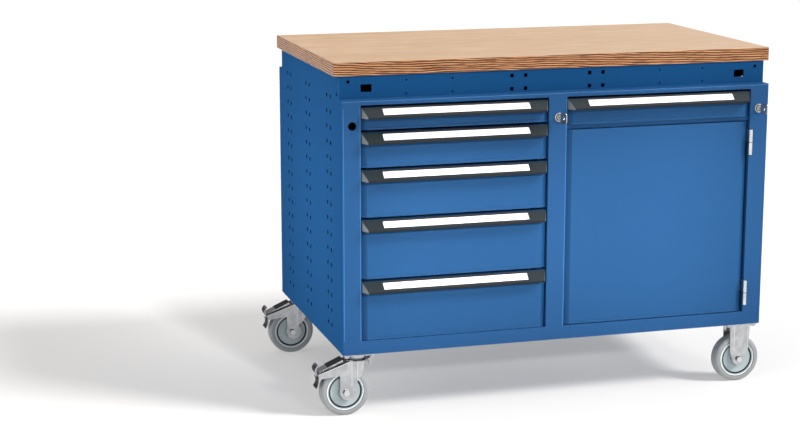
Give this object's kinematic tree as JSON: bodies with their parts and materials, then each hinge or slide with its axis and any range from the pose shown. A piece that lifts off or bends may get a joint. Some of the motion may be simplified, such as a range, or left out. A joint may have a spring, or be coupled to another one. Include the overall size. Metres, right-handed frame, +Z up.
{
  "type": "workbench with drawers",
  "caption": "Mobile steel workbench with a wooden top, a drawer stack beside a drawer over a hinged cupboard, and braked swivel castors at one end.",
  "frame": {"origin": "middle of the overall box, on the floor under the wheels; the trailing castors and the keys count in that box", "axes": "+X along the worktop to the right as seen from the front, +Y from the front to the back, +Z up"},
  "size_m": [1.175, 0.698, 0.86],
  "materials": {
    "beech": "clear lacquered beech ply",
    "blue_shell": "powder coat, satin",
    "blue_side": "powder coat, satin",
    "blue_rail": "powder coat, satin",
    "blue_front": "powder coat, satin",
    "zinc_runner": "galvanised",
    "handle_grey": "anthracite, satin",
    "label_white": "white insert",
    "chrome": "polished",
    "zinc": "bright zinc plate",
    "wheel_grey": "light grey nylon",
    "tyre_grey": "grey non-marking rubber",
    "pedal_black": "black, satin"
  },
  "bodies": {
    "frame": {"worktop": "beech", "side_panel_left": "blue_side", "side_panel_right": "blue_side", "upper_rail_front": "blue_rail", "upper_rail_back": "blue_rail", "front_frame": "blue_shell", "cabinet_top": "blue_shell", "base_panel": "blue_shell", "back_panel": "blue_shell", "partition": "blue_shell", "cupboard_shelf": "blue_shell", "runner_uprights": "zinc_runner", "drawer_runners": "zinc_runner", "door_hinge_frame_halves": "chrome", "lock_housings": "chrome", "castor_bolts": "zinc", "castor_front_left_plate": "zinc", "castor_rear_left_plate": "zinc", "castor_front_right_fork": "zinc", "castor_rear_right_fork": "zinc"},
    "drawer_left_1": {"drawer_left_1_front": "blue_front", "drawer_left_1_tray": "zinc_runner", "drawer_left_1_handle": "handle_grey", "drawer_left_1_label": "label_white"},
    "drawer_left_2": {"drawer_left_2_front": "blue_front", "drawer_left_2_tray": "zinc_runner", "drawer_left_2_handle": "handle_grey", "drawer_left_2_label": "label_white"},
    "drawer_left_3": {"drawer_left_3_front": "blue_front", "drawer_left_3_tray": "zinc_runner", "drawer_left_3_handle": "handle_grey", "drawer_left_3_label": "label_white"},
    "drawer_left_4": {"drawer_left_4_front": "blue_front", "drawer_left_4_tray": "zinc_runner", "drawer_left_4_handle": "handle_grey", "drawer_left_4_label": "label_white"},
    "drawer_left_5": {"drawer_left_5_front": "blue_front", "drawer_left_5_tray": "zinc_runner", "drawer_left_5_handle": "handle_grey", "drawer_left_5_label": "label_white"},
    "drawer_right": {"drawer_right_front": "blue_front", "drawer_right_tray": "zinc_runner", "drawer_right_handle": "handle_grey", "drawer_right_label": "label_white"},
    "door": {"door_panel": "blue_front", "door_hinge_door_halves": "chrome"},
    "key_middle": {"key_middle": "chrome"},
    "key_right": {"key_right": "chrome"},
    "castor_front_left_swivel": {"castor_front_left_fork": "zinc"},
    "castor_front_left_wheel": {"castor_front_left_wheel": "wheel_grey", "castor_front_left_tyre": "tyre_grey"},
    "castor_front_left_brake": {"castor_front_left_pedal": "zinc"},
    "castor_front_right_wheel": {"castor_front_right_wheel": "wheel_grey", "castor_front_right_tyre": "tyre_grey"},
    "castor_rear_left_swivel": {"castor_rear_left_fork": "zinc"},
    "castor_rear_left_wheel": {"castor_rear_left_wheel": "wheel_grey", "castor_rear_left_tyre": "tyre_grey"},
    "castor_rear_left_brake": {"castor_rear_left_pedal": "zinc"},
    "castor_rear_right_wheel": {"castor_rear_right_wheel": "wheel_grey", "castor_rear_right_tyre": "tyre_grey"}
  },
  "joints": [
    {"name": "drawer_left_1_slide", "type": "slide", "parent": "frame", "child": "drawer_left_1", "axis": [0, -1, 0], "range_m": [0, 0.45]},
    {"name": "drawer_left_2_slide", "type": "slide", "parent": "frame", "child": "drawer_left_2", "axis": [0, -1, 0], "range_m": [0, 0.45]},
    {"name": "drawer_left_3_slide", "type": "slide", "parent": "frame", "child": "drawer_left_3", "axis": [0, -1, 0], "range_m": [0, 0.45]},
    {"name": "drawer_left_4_slide", "type": "slide", "parent": "frame", "child": "drawer_left_4", "axis": [0, -1, 0], "range_m": [0, 0.45]},
    {"name": "drawer_left_5_slide", "type": "slide", "parent": "frame", "child": "drawer_left_5", "axis": [0, -1, 0], "range_m": [0, 0.45]},
    {"name": "drawer_right_slide", "type": "slide", "parent": "frame", "child": "drawer_right", "axis": [0, -1, 0], "range_m": [0, 0.45]},
    {"name": "door_hinge", "type": "hinge", "parent": "frame", "child": "door", "pos_m": [0.5245, -0.3205, 0.435], "axis": [0, 0, 1], "range_deg": [0, 110]},
    {"name": "key_middle_turn", "type": "hinge", "parent": "frame", "child": "key_middle", "pos_m": [0.0155, -0.315, 0.713], "axis": [0, -1, 0], "range_deg": [0, 90]},
    {"name": "key_right_turn", "type": "hinge", "parent": "frame", "child": "key_right", "pos_m": [0.5455, -0.315, 0.713], "axis": [0, -1, 0], "range_deg": [0, 90]},
    {"name": "castor_front_left_swivel", "type": "hinge", "parent": "frame", "child": "castor_front_left_swivel", "pos_m": [-0.4805, -0.271, 0.136], "axis": [0, 0, 1], "continuous": true},
    {"name": "castor_front_left_roll", "type": "hinge", "parent": "castor_front_left_swivel", "child": "castor_front_left_wheel", "pos_m": [-0.5125, -0.271, 0.06], "axis": [0, 1, 0], "continuous": true},
    {"name": "castor_front_left_brake_press", "type": "hinge", "parent": "castor_front_left_swivel", "child": "castor_front_left_brake", "pos_m": [-0.5115, -0.271, 0.127], "axis": [0, -1, 0], "range_deg": [0, 6]},
    {"name": "castor_front_right_roll", "type": "hinge", "parent": "frame", "child": "castor_front_right_wheel", "pos_m": [0.5275, -0.271, 0.06], "axis": [0, 1, 0], "continuous": true},
    {"name": "castor_rear_left_swivel", "type": "hinge", "parent": "frame", "child": "castor_rear_left_swivel", "pos_m": [-0.4805, 0.305, 0.136], "axis": [0, 0, 1], "continuous": true},
    {"name": "castor_rear_left_roll", "type": "hinge", "parent": "castor_rear_left_swivel", "child": "castor_rear_left_wheel", "pos_m": [-0.5125, 0.305, 0.06], "axis": [0, 1, 0], "continuous": true},
    {"name": "castor_rear_left_brake_press", "type": "hinge", "parent": "castor_rear_left_swivel", "child": "castor_rear_left_brake", "pos_m": [-0.5115, 0.305, 0.127], "axis": [0, -1, 0], "range_deg": [0, 6]},
    {"name": "castor_rear_right_roll", "type": "hinge", "parent": "frame", "child": "castor_rear_right_wheel", "pos_m": [0.5275, 0.305, 0.06], "axis": [0, 1, 0], "continuous": true}
  ]
}
